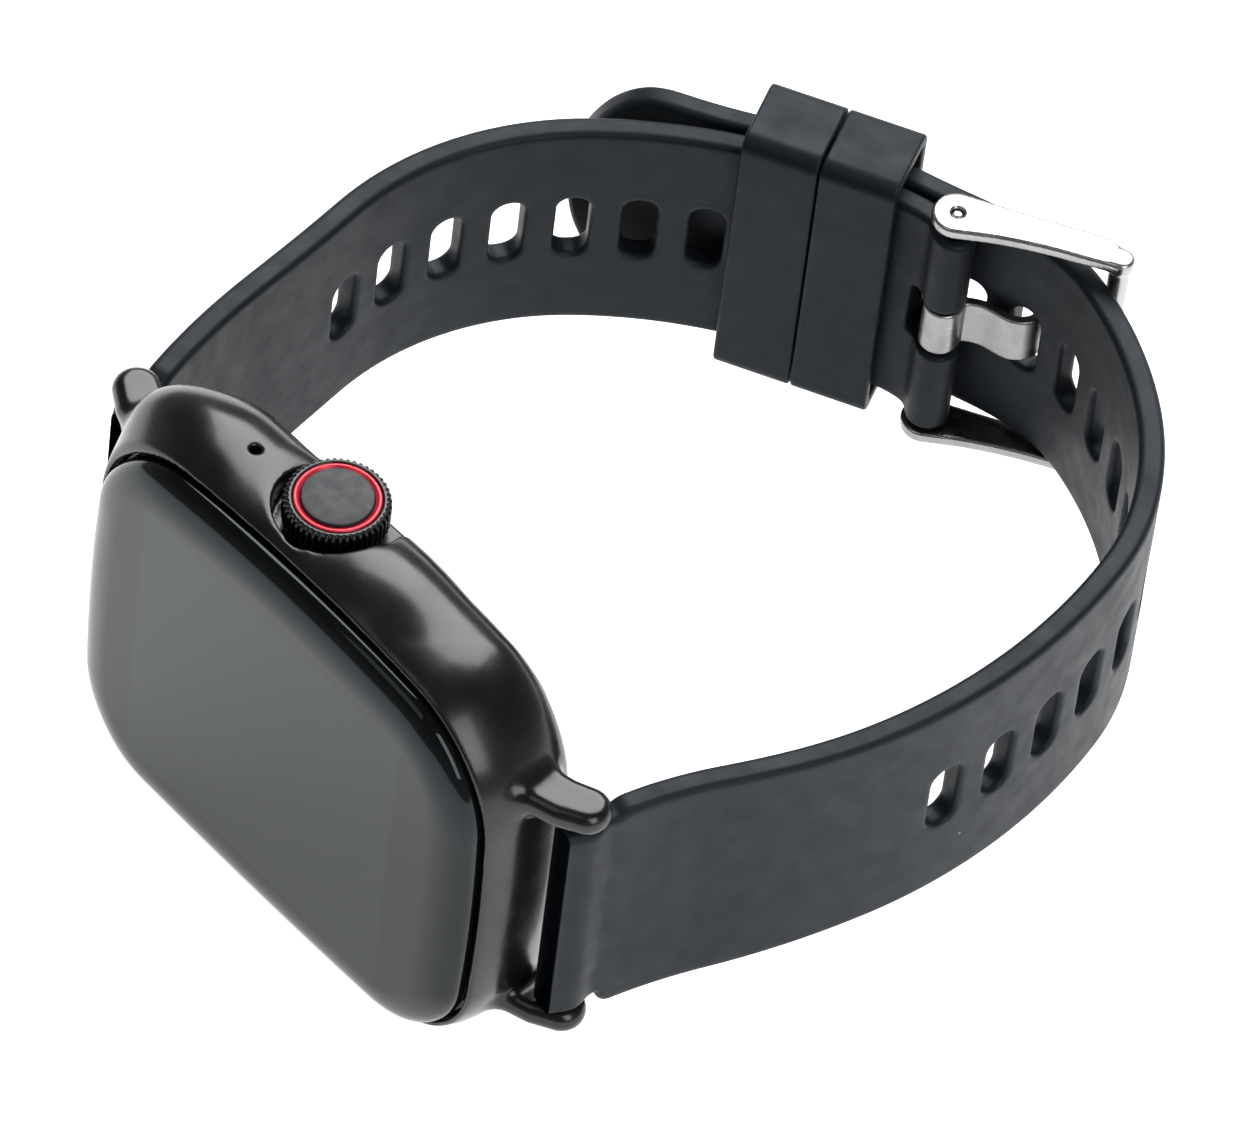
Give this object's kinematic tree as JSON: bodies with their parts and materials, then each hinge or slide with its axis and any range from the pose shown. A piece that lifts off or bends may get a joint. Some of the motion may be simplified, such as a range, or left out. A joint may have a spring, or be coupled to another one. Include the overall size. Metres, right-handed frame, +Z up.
{
  "type": "smartwatch",
  "caption": "Square smartwatch with a rotating, pressable crown, silicone strap buckled into a loop, sliding keepers, tang buckle and spring bars, lying on its side.",
  "frame": {"origin": "middle of the bounding box in plan, at the level of the lowest point, with the watch lying on its side and the crown up", "axes": "+Z is up, the way the crown faces; -Y is the way the screen faces; +X runs from the 12 o'clock end of the case to the 6 o'clock end"},
  "size_m": [0.062, 0.073, 0.0377],
  "materials": {
    "case_plastic": "black satin-gloss moulded plastic of the case and crown",
    "glass": "dark cover glass and sensor window",
    "seal_rubber": "black sealing rubber and adhesive",
    "display_film": "switched-off display",
    "foil": "stamped metal frame, shield and microphone can",
    "board": "green circuit board laminate",
    "battery_foil": "battery pouch foil",
    "steel": "bright steel of the buckle frame, spring bars and screws",
    "flex": "amber flexible circuit",
    "dark_plastic": "dark satin plastic of the back cover and switch",
    "gold": "gold-plated charging contacts",
    "magnet_plate": "nickel-plated magnets",
    "red_paint": "red anodised ring on the crown",
    "cap_paint": "matte slate-black crown cap",
    "brushed_steel": "brushed steel of the tongue and crown shaft",
    "silicone": "charcoal silicone of straps and keepers"
  },
  "bodies": {
    "watch": {"case_body": "case_plastic", "front_glass": "glass", "glass_seal": "seal_rubber", "display_panel": "display_film", "inner_frame": "foil", "main_board": "board", "processor_shield": "foil", "battery": "battery_foil", "vibration_motor": "steel", "microphone": "foil", "display_flex": "flex", "back_cover": "dark_plastic", "back_seal": "seal_rubber", "sensor_window": "glass", "sensor_board": "board", "charge_pin_1": "gold", "charge_magnet_1": "magnet_plate", "charge_pin_2": "gold", "charge_magnet_2": "magnet_plate", "back_screw_1": "steel", "back_screw_2": "steel", "back_screw_3": "steel", "back_screw_4": "steel", "crown_tube": "brushed_steel", "crown_seal": "seal_rubber", "switch_housing": "dark_plastic", "buckle_side_strap": "silicone", "hole_side_strap": "silicone", "lug_bar_12_tube": "steel", "lug_bar_12_spring": "steel", "lug_bar_6_tube": "steel", "lug_bar_6_spring": "steel", "buckle_bar_tube": "steel", "buckle_bar_spring": "steel"},
    "crown_push": {"switch_plunger": "dark_plastic"},
    "crown": {"crown_knob": "case_plastic", "crown_ring": "red_paint", "crown_cap": "cap_paint", "crown_shaft": "brushed_steel", "crown_clip": "steel"},
    "keeper_near": {"keeper_near": "silicone"},
    "keeper_far": {"keeper_far": "silicone"},
    "buckle": {"buckle_frame": "steel"},
    "tongue": {"buckle_tongue": "brushed_steel"},
    "lug_bar_12_upper": {"lug_bar_12_tip_upper": "steel"},
    "lug_bar_12_lower": {"lug_bar_12_tip_lower": "steel"},
    "lug_bar_6_upper": {"lug_bar_6_tip_upper": "steel"},
    "lug_bar_6_lower": {"lug_bar_6_tip_lower": "steel"},
    "buckle_bar_upper": {"buckle_bar_tip_upper": "steel"},
    "buckle_bar_lower": {"buckle_bar_tip_lower": "steel"}
  },
  "joints": [
    {"name": "crown_press", "type": "slide", "parent": "watch", "child": "crown_push", "axis": [0, 0, -1], "range_m": [0, 0.0005], "stiffness_N_per_m": 900},
    {"name": "crown_turn", "type": "hinge", "parent": "crown_push", "child": "crown", "pos_m": [-0.00331, -0.02911, 0.0333], "axis": [0, 0, 1], "continuous": true},
    {"name": "keeper_near_slide", "type": "hinge", "parent": "watch", "child": "keeper_near", "pos_m": [0.00735, -0.01087, 0.0169], "axis": [0, 0, -1], "range_deg": [0, 1]},
    {"name": "keeper_far_slide", "type": "hinge", "parent": "watch", "child": "keeper_far", "pos_m": [0.00735, -0.01087, 0.0169], "axis": [0, 0, 1], "range_deg": [0, 4]},
    {"name": "buckle_tilt", "type": "hinge", "parent": "watch", "child": "buckle", "pos_m": [-0.00153, 0.02839, 0.01735], "axis": [0, 0, 1], "range_deg": [0, 2]},
    {"name": "tongue_tilt", "type": "hinge", "parent": "buckle", "child": "tongue", "pos_m": [-0.00153, 0.02839, 0.01735], "axis": [0, 0, 1], "range_deg": [0, 1.5]},
    {"name": "lug_bar_12_tip_upper_slide", "type": "slide", "parent": "watch", "child": "lug_bar_12_upper", "axis": [0, 0, -1], "range_m": [0, 0.00105], "stiffness_N_per_m": 600, "deforming": ["lug_bar_12_spring"]},
    {"name": "lug_bar_12_tip_lower_slide", "type": "slide", "parent": "watch", "child": "lug_bar_12_lower", "axis": [0, 0, 1], "range_m": [0, 0.00105], "stiffness_N_per_m": 600},
    {"name": "lug_bar_6_tip_upper_slide", "type": "slide", "parent": "watch", "child": "lug_bar_6_upper", "axis": [0, 0, -1], "range_m": [0, 0.00105], "stiffness_N_per_m": 600, "deforming": ["lug_bar_6_spring"]},
    {"name": "lug_bar_6_tip_lower_slide", "type": "slide", "parent": "watch", "child": "lug_bar_6_lower", "axis": [0, 0, 1], "range_m": [0, 0.00105], "stiffness_N_per_m": 600},
    {"name": "buckle_bar_tip_upper_slide", "type": "slide", "parent": "watch", "child": "buckle_bar_upper", "axis": [0, 0, -1], "range_m": [0, 0.00105], "stiffness_N_per_m": 600, "deforming": ["buckle_bar_spring"]},
    {"name": "buckle_bar_tip_lower_slide", "type": "slide", "parent": "watch", "child": "buckle_bar_lower", "axis": [0, 0, 1], "range_m": [0, 0.00105], "stiffness_N_per_m": 600}
  ]
}
